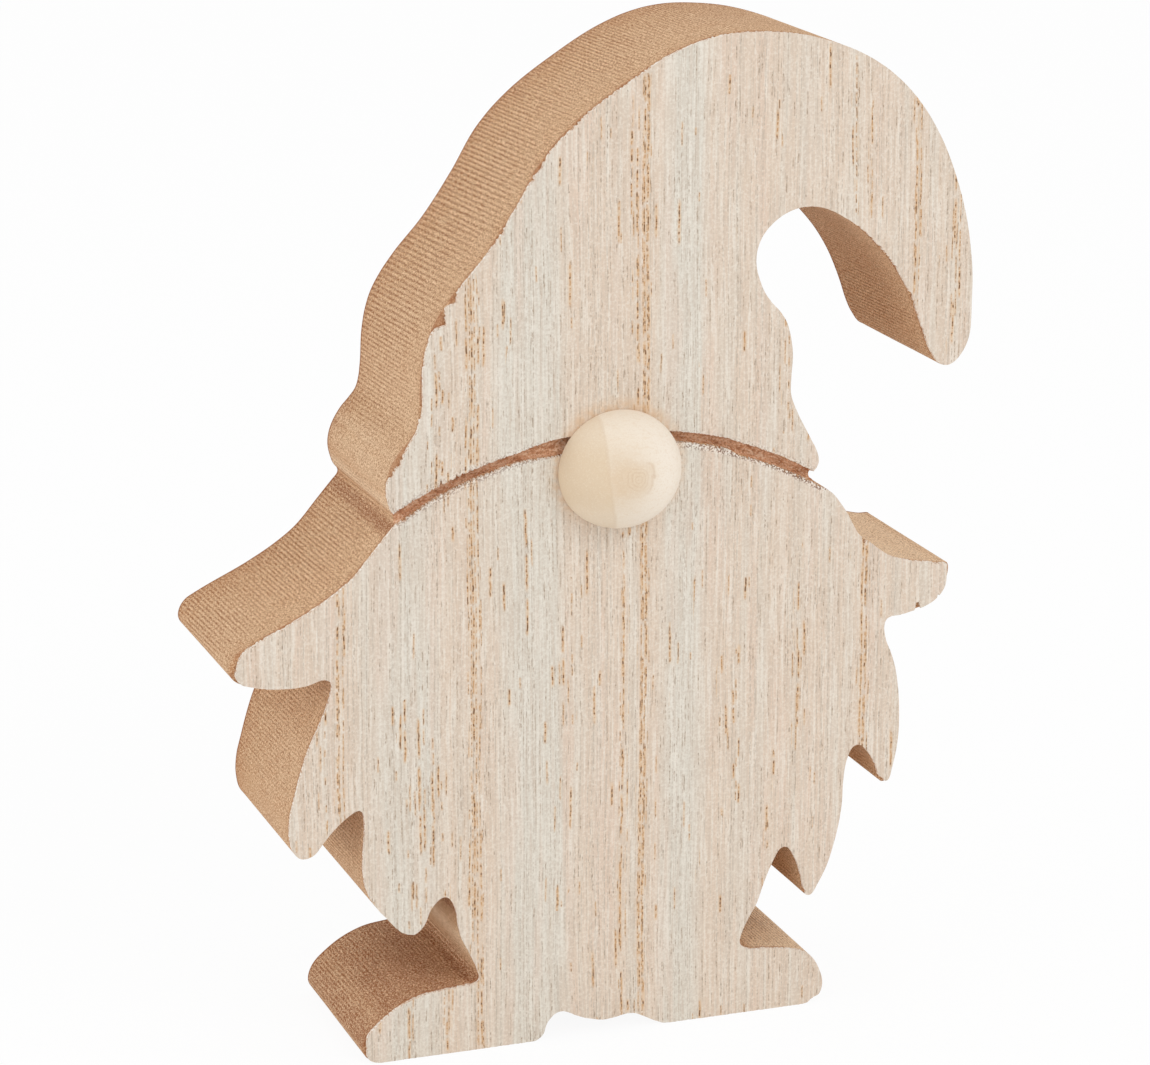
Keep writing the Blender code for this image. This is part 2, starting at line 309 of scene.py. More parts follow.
def fibreboard_finish():
    """Tan pressed fibre, browner at both skins and where scorched, with painted shade
    between the ribs and in notches and creases, a painted highlight on the ribs'
    crests and painted light on some faces.
    """
    finish = Finish("sawn fibreboard", roughness=0.9)
    thickness = CORE_BACK - CORE_FRONT
    depth = finish.math("DIVIDE", finish.minus(finish.y, CORE_FRONT), thickness)
    drift = finish.math("MULTIPLY_ADD", finish.noise(finish.place, 0.5), 0.16, -0.08)
    body = finish.ramp(finish.plus(depth, drift), BOARD_TONES)
    cloud = finish.noise(finish.place, 0.25, 3.0)
    body = finish.tint(body, cloud, 0.35, 0.75, 0.35, DENSE_FIBRE)
    # Scorch and painted shade where the value is above 0, painted light where it is below 0
    scorch_and_painted_light = finish.attribute("scorch_and_painted_light")
    body = finish.tint(body, scorch_and_painted_light, 0.0, 1.0, 0.85, SCORCH_AND_SHADE_FIBRE)
    body = finish.tint(body, scorch_and_painted_light, 0.0, -1.0, 0.9, PAINTED_LIGHT_FIBRE)
    rib = finish.attribute("rib")
    # Painted shade in the ribs' hollows and a painted highlight on their crests
    body = finish.tint(body, rib, 0.2, -0.8, 0.85, RIB_HOLLOW_SHADE)
    body = finish.tint(body, rib, 0.0, 0.9, 0.45, RIB_CREST_HIGHLIGHT)
    fibre = finish.noise(finish.place, FIBRE_FINENESS, 2.0, 0.7)
    body = finish.mottle(body, fibre, 0.0, 0.11, 0.66, DARK_FIBRE, LIGHT_FIBRE)
    speck = finish.noise(finish.place, SPECK_FINENESS, 1.0)
    body = finish.mottle(body, speck, 0.09, 0.18, 0.6, DARK_SPECK, LIGHT_SPECK)
    patchy = finish.ease(finish.noise(finish.place, 0.5, 1.0), 0.38, 0.60, 0.1, 0.6)
    skin = finish.times(finish.ease(depth, 0.015, 0.005), patchy)
    return finish.dress(finish.mix(skin, body, BOARD_SKIN), fibre, FIBRE_RELIEF)


CORE_ROWS = 16
CORE_SHARP_ANGLE = math.radians(55.0)
RIB_PITCH = 0.52
RIB_HEIGHT = 0.032
RIB_SLANT = 0.03
RIB_WANDER = 0.12
# Shares of a rib's height: what a calm spot takes away, the least that it leaves,
# what is there at the front and how it grows to the back, and how it swells and breaks
CALM_LOSS = 0.85
LEAST_RIB = 0.1
FRONT_RIB = 0.25
RIB_GROWTH = 1.3
RIB_MEAN = 0.85
RIB_SWELL = 0.3
RIB_BREAKS = 0.3
# How much the scorch, painted shade and painted light break up along the edge
SCORCH_AND_LIGHT_BREAKS = 0.25
FAST_FEED_AT = (-18.5, 100.5)
FAST_FEED_REACH = 12.0
FAST_FEED_PITCH = 0.70
# X, z and reach of each stretch where the ribs are faint
CALM_SPOTS = [(-28.5, 75.5, 5.0), (-41.0, 31.0, 6.0), (40.0, 60.0, 13.0), (30.0, 105.0, 8.0)]
# X, z, reach and strength of each spot of scorch and painted shade. Below 0 the
# fibre gets painted light instead.
SCORCH_AND_PAINTED_LIGHT_SPOTS = [
    (-28.3, 69.6, 1.2, 0.9), (-23.0, 9.5, 5.5, 0.95), (-17.4, 9.0, 1.1, 1.0),
    (19.2, 9.6, 1.5, 1.7), (-36.0, 50.6, 2.5, 0.5), (-32.0, 33.5, 2.5, 0.5),
    (33.0, 101.0, 10.0, -0.2), (24.5, 22.0, 3.0, 0.5), (-31.6, 3.0, 1.2, 1.2),
    (-28.0, 72.2, 1.5, -0.7), (-28.3, 76.5, 4.0, -0.35), (-24.5, 85.0, 6.0, -0.3),
    (-38.0, 40.0, 8.0, -0.2), (40.0, 60.0, 8.0, -1.1), (-18.0, 14.0, 3.0, -1.2),
    (-20.6, 20.6, 2.2, 1.4), (24.5, 8.3, 6.0, -1.4), (-29.5, 6.0, 4.0, 0.5),
]
# X, z and reach of each tip that is fuller than the solid's, and how far it moves out
FULL_TIPS = [
    (46.9, 57.6, 1.5, 0.2, 0.92), (38.1, 30.2, 1.3, -0.27, -0.39), (-31.5, 1.6, 1.6, -0.2, -0.1),
]


def nearness(x, z, reach):
    """How near each rim point is to a spot: 1 there, falling away beyond its reach."""
    distance = np.hypot(rim[:, 0] - x, rim[:, 1] - z)
    return np.exp(-((distance / reach) ** 2))


rim = smooth_rim(back_rim("core_board"), EDGE_STEP)
for tip_x, tip_z, reach, out_x, out_z in FULL_TIPS:
    rim += nearness(tip_x, tip_z, reach)[:, None] * (out_x, out_z)
rim[:, 1] = np.maximum(rim[:, 1], 0.0)
rim_normal = outward(rim)
rim_count = len(rim)


def rib_relief(rows):
    """The height of the saw's ribs over the edge, from -1 to 1, a row for each depth."""
    fast = nearness(*FAST_FEED_AT, FAST_FEED_REACH)
    bites = np.cumsum(EDGE_STEP / (RIB_PITCH + (FAST_FEED_PITCH - RIB_PITCH) * fast))
    bites *= round(bites[-1]) / bites[-1]
    bites += RIB_WANDER * wander(rim_count, spacing=12, seed=3)
    calm = sum(nearness(*spot) for spot in CALM_SPOTS)
    swell = RIB_MEAN + RIB_SWELL * wander(rim_count, spacing=60, seed=4)
    strength = np.clip(1.0 - CALM_LOSS * calm, LEAST_RIB, 1.0) * swell
    relief = []
    for i, y in enumerate(rows):
        share = (y - CORE_FRONT) / (CORE_BACK - CORE_FRONT)
        slant = RIB_SLANT * (y - CORE_FRONT) / RIB_PITCH
        fade = min(1.0, FRONT_RIB + RIB_GROWTH * share)
        broken = 1.0 + RIB_BREAKS * wander(rim_count, spacing=7, seed=100 + i)
        relief.append(np.cos(2 * math.pi * (bites + slant)) * strength * fade * broken)
    return np.array(relief)


def core_mesh():
    """The board's ribbed edge face between its flat faces, with rib, scorch, painted
    shade and painted light kept.

    The wall is in triangles, so that the groove's cut leaves a clean edge on it.
    """
    rows = np.linspace(CORE_FRONT, CORE_BACK, CORE_ROWS)
    relief = rib_relief(rows)
    points = []
    for y, heights in zip(rows, relief):
        sunk = rim - rim_normal * ((1.0 - heights) * RIB_HEIGHT / 2)[:, None]
        sunk[:, 1] = np.maximum(sunk[:, 1], 0.0)
        points.append(np.stack([sunk[:, 0], np.full(rim_count, y), sunk[:, 1]], 1))
    *wall, front, back = tube_faces(CORE_ROWS, rim_count)
    halves = [half for a, b, c, d in wall for half in ((a, b, c), (a, c, d))]
    mesh = mesh_of("core_board_sawn", np.concatenate(points), [*halves, front, back])
    # Scorch and painted shade above 0, painted light below 0, spot by spot
    scorch_and_painted_light = sum(strength * nearness(x, z, reach) for x, z, reach, strength in SCORCH_AND_PAINTED_LIGHT_SPOTS)
    scorch_and_painted_light *= 1.0 + SCORCH_AND_LIGHT_BREAKS * wander(rim_count, spacing=9, seed=6)
    scorch_and_painted_light = np.tile(scorch_and_painted_light, CORE_ROWS)
    for name, values in (("rib", relief.ravel()), ("scorch_and_painted_light", scorch_and_painted_light)):
        attribute = mesh.attributes.new(name, "FLOAT", "POINT")
        attribute.data.foreach_set("value", values.astype(np.float32))
    return mesh


GROOVE_DEPTH = 1.5
GROOVE_FLOOR_STEPS = 12
GROOVE_STEP = 0.15
GROOVE_START_TURN = math.radians(-32.4)
GROOVE_END_X = 27.6
# How far the groove's middle lies to the right of the solid's
GROOVE_DRIFT = 0.45
# How far the hand-led cut strays outwards from its arc, at these places along it
STRAY_X = [-27.0, -22.0, -12.0, -7.5, 9.0, 15.5, 18.0, 27.0]
UPPER_STRAY = [-0.15, -0.2, -0.2, 0.25, 0.12, 0.2, 0.0, -0.15]
LOWER_STRAY = [0.0, 0.25, 0.2, -0.35, 0.4, 0.5, 0.0, 0.15]
LIP_WEAR = 0.15
# The part of a face veneer in which its lip along the groove is looked for
LIP_REACH_X = 25.0
LIP_LOW_Z = 72.0
LIP_HIGH_Z = 80.0
# The cutter's roughness, how far it stands out of the board, and how far inside it
# its straight sides have a row of points
CUTTER_ROUGHNESS = 0.03
CUTTER_PROUD = 1.0
CUTTER_WALL = 0.2


def circle_through(first, second, third):
    """The middle and radius of the circle through three points."""
    (ax, az), (bx, bz), (cx, cz) = first, second, third
    rows = np.array([[bx - ax, bz - az], [cx - ax, cz - az]])
    sums = np.array([bx**2 - ax**2 + bz**2 - az**2, cx**2 - ax**2 + cz**2 - az**2]) / 2
    middle = np.linalg.solve(rows, sums)
    return middle, float(np.hypot(*(middle - np.array(first))))


def lip_points(node):
    """The corners of a face veneer along the groove, from left to right."""
    corners = {(v.co.x / MM, v.co.z / MM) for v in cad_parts[node].data.vertices}
    return sorted((x, z) for x, z in corners if abs(x) < LIP_REACH_X and LIP_LOW_Z < z < LIP_HIGH_Z)


lower_lip = lip_points("body_veneer")
groove_middle, LOWER_RADIUS = circle_through(
    lower_lip[0], lower_lip[len(lower_lip) // 2], lower_lip[-1]
)
UPPER_RADIUS = float(np.hypot(*(np.array(lip_points("hat_veneer")[0]) - groove_middle)))
LOWER_RADIUS -= LIP_WEAR
GROOVE_WIDTH = UPPER_RADIUS - LOWER_RADIUS
groove_middle[0] += GROOVE_DRIFT


def on_arc(turn, radius):
    """Points at angles from the top of the groove's circle, positive to the right."""
    return np.stack([
        groove_middle[0] + radius * np.sin(turn), groove_middle[1] + radius * np.cos(turn)
    ], 1)


def stray(turn, side):
    """How far the hand-led cut strays from its arc at its upper (1) or lower (-1) lip."""
    x = groove_middle[0] + UPPER_RADIUS * np.sin(turn)
    return np.interp(x, STRAY_X, UPPER_STRAY if side > 0 else LOWER_STRAY)


GROOVE_TONES = [
    (0.34, tone(240, 204, 172)), (0.46, tone(228, 180, 144)), (0.58, tone(208, 156, 118)),
    (0.70, tone(170, 114, 80)),
]
GROOVE_LEFT = tone(150, 100, 76)
GROOVE_DARK = tone(156, 98, 68)
GROOVE_LIGHT = tone(255, 230, 204)
GROOVE_SHADE = tone(152, 106, 82)
GROOVE_SHADE_REACH = 0.4
GROOVE_RELIEF = 0.12


def groove_finish():
    """Fibre drawn out along the cut, darker under the upper lip."""
    finish = Finish("routed groove", roughness=0.9)
    radius, turn = finish.round_a_point(groove_middle)
    along = finish.times(turn, LOWER_RADIUS * 0.8)
    place = finish.vector(finish.times(radius, 2.4), finish.y, along)
    streak = finish.noise(place, 1.0, 4.0, 0.65)
    body = finish.ramp(streak, GROOVE_TONES)
    body = finish.tint(body, finish.x, -8.0, -20.0, 0.08, GROOVE_LEFT)
    fibre = finish.noise(finish.place, 3.0, 2.0, 0.7)
    body = finish.tint(body, fibre, 0.52, 0.66, 0.62, GROOVE_DARK)
    body = finish.tint(body, fibre, 0.48, 0.34, 0.60, GROOVE_LIGHT)
    shade_from = UPPER_RADIUS - GROOVE_SHADE_REACH
    body = finish.tint(body, radius, shade_from, UPPER_RADIUS, 0.32, GROOVE_SHADE)
    return finish.dress(body, fibre, GROOVE_RELIEF)


def groove_cutter_mesh():
    """A round-nosed bar bent along the groove, with a fibrous skin."""
    middle_radius = (LOWER_RADIUS + UPPER_RADIUS) / 2
    end_turn = math.asin((GROOVE_END_X - groove_middle[0]) / middle_radius)
    count = round((end_turn - GROOVE_START_TURN) * middle_radius / GROOVE_STEP)
    half = GROOVE_WIDTH / 2
    floor_y = FACE_Y + GROOVE_DEPTH
    above, wall = CORE_FRONT - CUTTER_PROUD, CORE_FRONT + CUTTER_WALL
    section = [(half, above), (half, wall)]
    for i in range(GROOVE_FLOOR_STEPS + 1):
        angle = math.pi * i / GROOVE_FLOOR_STEPS
        section.append((half * math.cos(angle), floor_y - half + half * math.sin(angle)))
    section += [(-half, wall), (-half, above)]
    width = len(section)
    rng = np.random.default_rng(21)
    points = []
    for turn in np.linspace(GROOVE_START_TURN, end_turn, count):
        rough = rng.normal(0.0, CUTTER_ROUGHNESS, (width, 2))
        low, high = stray(turn, -1), stray(turn, 1)
        for (across, y), (dr, dy) in zip(section, rough):
            shift = low + (high - low) * (across / half + 1.0) / 2
            x, z = on_arc(np.array([turn]), middle_radius + across + dr + shift)[0]
            points.append((x, y + dy, z))
    mesh = mesh_of("groove_cutter", points, tube_faces(count, width))
    shell = bmesh.new()
    shell.from_mesh(mesh)
    bmesh.ops.triangulate(shell, faces=shell.faces)
    bmesh.ops.recalc_face_normals(shell, faces=shell.faces)
    shell.to_mesh(mesh)
    shell.free()
    return mesh


def cut_groove(piece):
    """Cut the groove out of the core, and give the cut its own finish."""
    cutter = add_object("groove_cutter", groove_cutter_mesh())
    cutter.data.materials.append(groove_finish())
    modifier = piece.modifiers.new("groove", "BOOLEAN")
    modifier.object = cutter
    modifier.operation = "DIFFERENCE"
    modifier.solver = "EXACT"
    modifier.material_mode = "TRANSFER"
    shown = piece.evaluated_get(bpy.context.evaluated_depsgraph_get())
    mesh = bpy.data.meshes.new_from_object(shown)
    piece.modifiers.clear()
    piece.data = mesh
    bpy.data.objects.remove(cutter)
    mesh.shade_smooth()
    mesh.set_sharp_from_angle(angle=CORE_SHARP_ANGLE)


core = make_piece("core_board_sawn", core_mesh(), [fibreboard_finish()], "fibreboard", "core_board")
cut_groove(core)

# Back veneer
# A balancing veneer, 0.5 mm thick, glued to the back so that the board stays
# flat. Its outer edge is sanded off a little.

VENEER_THICKNESS = 0.5
ARRIS = 0.25
EDGE_TONES = [(0.36, tone(255, 251, 244)), (0.50, tone(238, 224, 206)), (0.62, tone(190, 146, 112))]
GLUE_LINE = tone(160, 106, 68)
GLUE_BLUR = 0.1


def veneer_edge_finish():
    """The sheet's edge: pale where the wash has run over it, brown at the glue line."""
    finish = Finish("veneer edge", roughness=0.85)
    fibre = finish.noise(finish.place, 3.4, 3.0, 0.7)
    body = finish.ramp(fibre, EDGE_TONES)
    glued = FACE_Y + VENEER_THICKNESS
    body = finish.tint(body, finish.y, glued - GLUE_BLUR, glued + GLUE_BLUR, 1.0, GLUE_LINE)
    return finish.dress(body, fibre, FIBRE_RELIEF)


# How much the grain leans, and the height at which a column of it is named by its x
GRAIN_LEAN = 0.01
GRAIN_LEVEL = 64.0
# Middle, half width and strength of each band where the wash lies thick
WASHED_BANDS = [(-27.0, 6.5, 0.8), (-10.0, 6.0, 1.0), (10.0, 4.0, 1.0)]
# Middle, half width, strength, lowest z and highest z of each band of open pores
POROUS_BANDS = [
    (4.6, 1.0, 0.95, 0.0, 128.0), (2.1, 0.8, 0.75, 0.0, 66.0), (3.4, 0.8, 0.6, 84.0, 128.0),
    (-17.6, 1.2, 0.9, 14.0, 100.0), (-34.9, 1.0, 0.85, 33.0, 66.0), (-37.3, 0.9, 0.5, 32.0, 46.0),
    (34.9, 1.0, 0.85, 31.0, 66.0), (32.2, 0.7, 0.85, 106.0, 124.0), (34.3, 0.6, 0.7, 105.0, 118.0),
    (41.0, 0.6, 0.95, 94.0, 120.0), (46.2, 1.2, 0.45, 86.0, 108.0), (23.6, 1.4, 0.45, 79.0, 95.0),
    (-22.0, 2.0, 0.35, 74.0, 92.0), (-24.5, 4.5, 0.2, 18.0, 46.0), (-6.5, 3.0, 0.15, 20.0, 60.0),
    (25.5, 0.8, 0.5, 38.0, 60.0), (16.5, 2.5, 0.18, 28.0, 48.0), (-17.2, 0.9, 1.0, 0.0, 14.0),
    (-21.4, 0.8, 0.8, 0.0, 9.0), (-26.4, 0.8, 0.7, 0.0, 8.0), (22.0, 1.2, 0.25, 18.0, 34.0),
]
# Pitch, half width, least length, most length, strength and number of each pattern
PORE_LAYERS = [(0.79, 0.14, 2.0, 7.0, 1.0, 1.0), (0.57, 0.10, 1.2, 4.5, 0.75, 2.0)]
DASH_LAYERS = [(0.67, 0.11, 1.2, 4.5, 0.9, 5.0), (0.43, 0.08, 0.8, 3.0, 0.7, 6.0)]
# Pitch, half width and number of each pattern
HAIR_LAYERS = [(0.86, 0.12, 3.0), (0.61, 0.09, 4.0)]
# Fineness across and along the grain, shift and share of each pattern
STREAK_LAYERS = [(1.3, 0.04, 23.0, 0.30), (2.7, 0.10, 41.0, 0.50)]
THIN_WASH = tone(222, 202, 182)
THICK_WASH = tone(219, 212, 199)
WORN_WASH = tone(226, 200, 180)
DARK_STREAK = tone(208, 192, 175)
LIGHT_STREAK = tone(238, 231, 219)
DARK_FLECK = tone(204, 188, 172)
LIGHT_FLECK = tone(240, 233, 222)
HAIR = tone(190, 176, 160)
PORE_STAIN = tone(226, 194, 156)
PORE_LINE = tone(196, 146, 98)
PORE_BEAD = tone(110, 76, 50)
DASH_LINE = tone(178, 154, 130)
DASH_BEAD = tone(126, 104, 84)


class VeneerFinish(Finish):
    """Open-pored straight-grained veneer under a thin white wash.

    side is 1 for the sheet on the face and -1 for the one on the back, whose
    figure runs the other way round.
    """

    def __init__(self, name, side):
        super().__init__(name, roughness=0.8)
        self.side = side
        raised = self.minus(self.z, GRAIN_LEVEL)
        column = self.times(self.math("MULTIPLY_ADD", raised, GRAIN_LEAN, self.x), side)
        slow_x = self.times(column, 0.05)
        slow_z = self.times(self.z, 0.03)
        sway = self.noise(self.vector(slow_x, side, slow_z), 1.0)
        self.across = self.plus(column, self.math("MULTIPLY_ADD", sway, 1.4, -0.7))

    def random(self, x, y):
        """A value from 0 to 1 that is the same all over one cell of a pattern."""
        cell = self.vector(x, y, 0.0)
        return self.add("TexWhiteNoise", {"Vector": cell}, "Value", noise_dimensions="2D")

    def streaks(self, fineness, length, detail, shift, rough=0.6):
        """Noise drawn out along the grain: cycles a millimetre across it and along it."""
        x = self.times(self.across, fineness)
        z = self.times(self.z, length)
        return self.noise(self.vector(x, self.side + shift, z), 1.0, detail, rough)

    def band(self, middle, half_width):
        """1 along a band of the grain, falling to 0 at its sides."""
        offset = self.math("ABSOLUTE", self.minus(self.across, middle))
        return self.ease(offset, half_width, half_width * 0.25)

    def washed(self):
        """How thick the wash lies, from 0 to 1."""
        thick = self.ease(self.streaks(0.45, 0.018, 2.0, 3.0), 0.46, 0.62, 0.0, 0.45)
        for middle, half_width, strength in WASHED_BANDS:
            band = self.times(self.band(middle, half_width), strength)
            thick = self.math("ADD", thick, band, clamp=True)
        return thick

    def ground(self, thick):
        """The wood between the pores: whiter under thick wash, pinkish where it wears through."""
        body = self.mix(thick, THIN_WASH, THICK_WASH)
        pink = self.streaks(0.32, 0.02, 2.0, 11.0)
        body = self.tint(body, pink, 0.50, 0.64, 0.45, WORN_WASH)
        for fineness, length, shift, share in STREAK_LAYERS:
            streak = self.streaks(fineness, length, 2.0, shift)
            body = self.mottle(body, streak, 0.0, 0.16, share, DARK_STREAK, LIGHT_STREAK)
        fleck = self.noise(self.place, 3.0, 2.0, 0.75)
        return self.mottle(body, fleck, 0.0, 0.16, 0.38, DARK_FLECK, LIGHT_FLECK)

    def column_line(self, pitch, number, drift):
        """Which column of the grain a place is in, and how far it is from its line."""
        column_at = self.math("DIVIDE", self.across, pitch)
        column = self.math("FLOOR", column_at)
        side = self.minus(self.math("FRACT", column_at), 0.5)
        shift = self.random(column, 13.0 * number + self.side)
        side = self.plus(side, self.math("MULTIPLY_ADD", shift, 0.5, -0.25))
        wobble_at = self.vector(self.times(column, 7.0), number, self.z)
        wobble = self.noise(wobble_at, drift, 1.0)
        side = self.plus(side, self.math("MULTIPLY_ADD", wobble, 0.3, -0.15))
        return column, self.times(self.math("ABSOLUTE", side), pitch)

    def hairs(self, pitch, width, number):
        """Fine grey lines that fade in and out along the grain."""
        column, reach = self.column_line(pitch, number, 0.3)
        level = self.random(column, 30.0 * number + self.side)
        fade = self.noise(self.vector(self.times(column, 3.7), number, self.z), 0.16)
        strength = self.plus(self.times(level, 0.5), fade)
        strength = self.ease(strength, 0.60, 1.0)
        beads = self.noise(self.vector(self.times(column, 5.3), number, self.z), 1.8)
        strength = self.times(strength, self.ease(beads, 0.42, 0.58, 0.1, 1.0))
        return self.times(strength, self.ease(reach, width, width * 0.2))

    def crowding(self):
        """The share of places that hold a pore: high in the porous bands."""
        stray = self.streaks(0.3, 0.015, 1.0, 57.0)
        crowding = self.ease(stray, 0.48, 0.72, 0.01, 0.06)
        for middle, half_width, strength, low_z, high_z in POROUS_BANDS:
            up = self.ease(self.z, low_z - 4.0, low_z + 2.0)
            down = self.ease(self.z, high_z + 4.0, high_z - 2.0)
            inside = self.times(self.band(middle, half_width), strength)
            inside = self.times(inside, self.times(up, down))
            crowding = self.math("MAXIMUM", crowding, inside)
        return crowding

    def pores(self, crowding, pitch, width, least, most, strength, number):
        """Open pores in columns: the stain round each, its line and its dark beads."""
        column, reach = self.column_line(pitch, number, 1.3)
        longer = self.random(column, 10.0 * number + self.side)
        higher = self.random(column, 20.0 * number + self.side)
        length = self.math("MULTIPLY_ADD", longer, most - least, least)
        row_at = self.math("MULTIPLY_ADD", higher, 57.0, self.math("DIVIDE", self.z, length))
        row = self.math("FLOOR", row_at)
        chance = self.random(self.plus(column, 0.5), row)
        present = self.math("LESS_THAN", chance, crowding)
        end = self.math("ABSOLUTE", self.minus(self.math("FRACT", row_at), 0.5))
        present = self.times(present, self.ease(end, 0.48, 0.30))
        present = self.times(present, strength)
        beads_at = self.vector(self.times(column, 3.0), number + 5.0, self.z)
        beads = self.noise(beads_at, 1.7, 2.0, 0.6)
        stain = self.ease(reach, width * 2.6, width * 0.6, 0.0, 0.5)
        line = self.times(self.ease(reach, width, width * 0.3), present)
        line = self.times(line, self.ease(beads, 0.38, 0.50, 0.12, 1.0))
        bead = self.times(line, self.ease(beads, 0.52, 0.62))
        return self.times(stain, present), line, bead


def veneer_finish(name, side):
    """A sheet's finish, with its colour and relief, which the caller may add to."""
    finish = VeneerFinish(name, side)
    body = finish.ground(finish.washed())
    for layer in HAIR_LAYERS:
        hair = finish.times(finish.hairs(*layer), 0.75)
        body = finish.mix(hair, body, HAIR)
    crowding = finish.crowding()
    hollow = 0.0
    for layer in PORE_LAYERS:
        stain, line, bead = finish.pores(crowding, *layer)
        body = finish.mix(stain, body, PORE_STAIN)
        body = finish.mix(finish.times(line, 0.80), body, PORE_LINE)
        body = finish.mix(finish.times(bead, 0.90), body, PORE_BEAD)
        hollow = finish.math("MAXIMUM", hollow, line)
    scattered = finish.ease(finish.noise(finish.place, 0.08), 0.35, 0.65, 0.10, 0.28)
    for layer in DASH_LAYERS:
        _, line, bead = finish.pores(scattered, *layer)
        body = finish.mix(finish.times(line, 0.55), body, DASH_LINE)
        body = finish.mix(finish.times(bead, 0.50), body, DASH_BEAD)
    ripple = finish.streaks(2.9, 0.06, 2.0, 41.0)
    relief = finish.minus(finish.times(ripple, 0.5), hollow)
    return finish, body, relief


def stacked_mesh(name, layers, front_material, side_material, back_material):
    """A solid whose outline is given at a few depths, closed by a face at each end."""
    count = len(layers[0][1])
    points = [(x, y, z) for y, loop in layers for x, z in loop]
    faces = tube_faces(len(layers), count)
    materials = [side_material] * (len(faces) - 2) + [front_material, back_material]
    mesh = mesh_of(name, points, faces)
    mesh.polygons.foreach_set("material_index", materials)
    return mesh


VENEER_RELIEF = 0.035

edge_finish = veneer_edge_finish()
eased = rim - rim_normal * ARRIS
eased[:, 1] = np.maximum(eased[:, 1], 0.0)
back_mesh = stacked_mesh(
    "back_veneer_sheet",
    [(CORE_BACK, rim), (BACK_Y - ARRIS, rim), (BACK_Y, eased)],
    front_material=0, side_material=0, back_material=1,
)
back_finish, back_body, back_relief = veneer_finish("washed back veneer", -1.0)
back_finish = back_finish.dress(back_body, back_relief, VENEER_RELIEF)
make_piece("back_veneer_sheet", back_mesh, [edge_finish, back_finish], "veneer", "back_veneer")

# Face veneers
# The same open-pored veneer on the front. The bit tore its brittle edge along
# the grain, and the groove parts it into the hat and the body.

# X, lowest z and highest z of each strip that broke off along the grain
GRAIN_CHIPS = [(-19.75, 96.8, 99.2), (-21.2, 94.1, 97.0), (-10.0, 111.1, 112.4)]
# X, z, width and depth of each split in the edge
EDGE_SPLITS = [(42.5, 52.9, 0.75, 0.95), (45.35, 54.1, 0.3, 0.45), (34.65, 62.8, 0.6, 0.6)]
# X, z, length and depth of each stretch that is rubbed away
WORN_SPOTS = [
    (-48.2, 54.0, 7.0, 0.8), (-31.6, 2.0, 4.0, 0.45), (29.4, 0.5, 2.4, 0.35), (46.8, 57.6, 3.6, 0.4),
    (38.2, 29.8, 2.2, 0.5), (28.1, 15.9, 1.4, 0.3), (-9.4, 112.8, 3.4, 0.3), (-27.6, 78.2, 7.0, 0.5),
]
# Fibre bundles of two widths, and how far each may be broken back
FINE_BUNDLE = 0.23
FINE_FRAY = 0.15
COARSE_BUNDLE = 0.61
COARSE_FRAY = 0.10
EDGE_WEAR = 0.05
# What is left of the fraying and the wear below and on the right, where the bit tore less
LOWER_SIDE_SHARE = 0.35
RIGHT_SIDE_SHARE = 0.3
# Above this the steep left edge is broken in steps, at grain lines this far apart
STEPPED_FROM = 76.0
GRAIN_LINE_GAPS = (0.12, 0.6)
DEEPEST_STEP = 0.4
# X, height and width of each split in the groove's lips
UPPER_SPLITS = [
    (-25.4, 0.45, 0.3), (-22.9, 0.3, 0.3), (-21.8, 1.0, 0.45), (-19.8, 0.6, 0.35),
    (-19.1, 0.35, 0.5), (-18.1, 0.45, 0.3), (23.4, 0.3, 0.5),
]
LOWER_SPLITS = [
    (-26.3, 0.3, 0.3), (-25.4, 0.5, 0.3), (-24.4, 0.4, 0.3), (-21.3, 0.4, 0.3), (-19.6, 0.4, 0.3),
]
# How roughly the lips are torn, at these places along the groove
ROUGH_X = [-28.0, -18.0, 10.0, 18.0, 28.0]
UPPER_ROUGHNESS = [0.25, 0.15, 0.10, 0.15, 0.20]
LOWER_ROUGHNESS = [0.40, 0.30, 0.25, 0.50, 0.60]
LIP_STEP = 0.06
LIP_BUNDLE = 0.14
LIP_FRAY = 0.05
# How much of the hat's edge is gone next to the groove
CORNER = 0.3
# The veneer is crumbled along the groove above this height
LIP_END_Z = 69.6
# The hat lies above this height, apart from the body's shoulder right of the groove's end
HAT_FROM_Z = 69.0
SHOULDER_PAST_END = 0.8
SHOULDER_TOP_Z = 71.5
DARK_CRUMB = tone(116, 74, 56)
LIGHT_CRUMB = tone(250, 244, 236)
# Warm painted shade round the nose
NOSE_CONTACT_SHADE = tone(222, 188, 152)


def broken_fibres(x, width, seed):
    """How far the upright fibres are broken back, 0 to 1, in steps along x."""
    rng = np.random.default_rng(seed)
    lengths = rng.uniform(0.0, 1.0, 1000) ** 2
    place = x / width + len(lengths) / 2
    low = np.floor(place).astype(int)
    share = np.clip((place - low - 0.75) / 0.25, 0.0, 1.0)
    return lengths[low] * (1 - share) + lengths[low + 1] * share


def grain_step(x, seed):
    """How far it is from each x to the next grain line where the veneer breaks."""
    rng = np.random.default_rng(seed)
    lines = -60.0 + np.cumsum(rng.uniform(*GRAIN_LINE_GAPS, 400))
    return np.minimum(lines[np.searchsorted(lines, x)] - x, DEEPEST_STEP)


def rim_gap(x, z):
    """Each rim point's distance along the outline from the one nearest to a place."""
    middle = np.hypot(rim[:, 0] - x, rim[:, 1] - z).argmin()
    steps = np.arange(rim_count) - middle
    return np.abs((steps + rim_count / 2) % rim_count - rim_count / 2) * EDGE_STEP


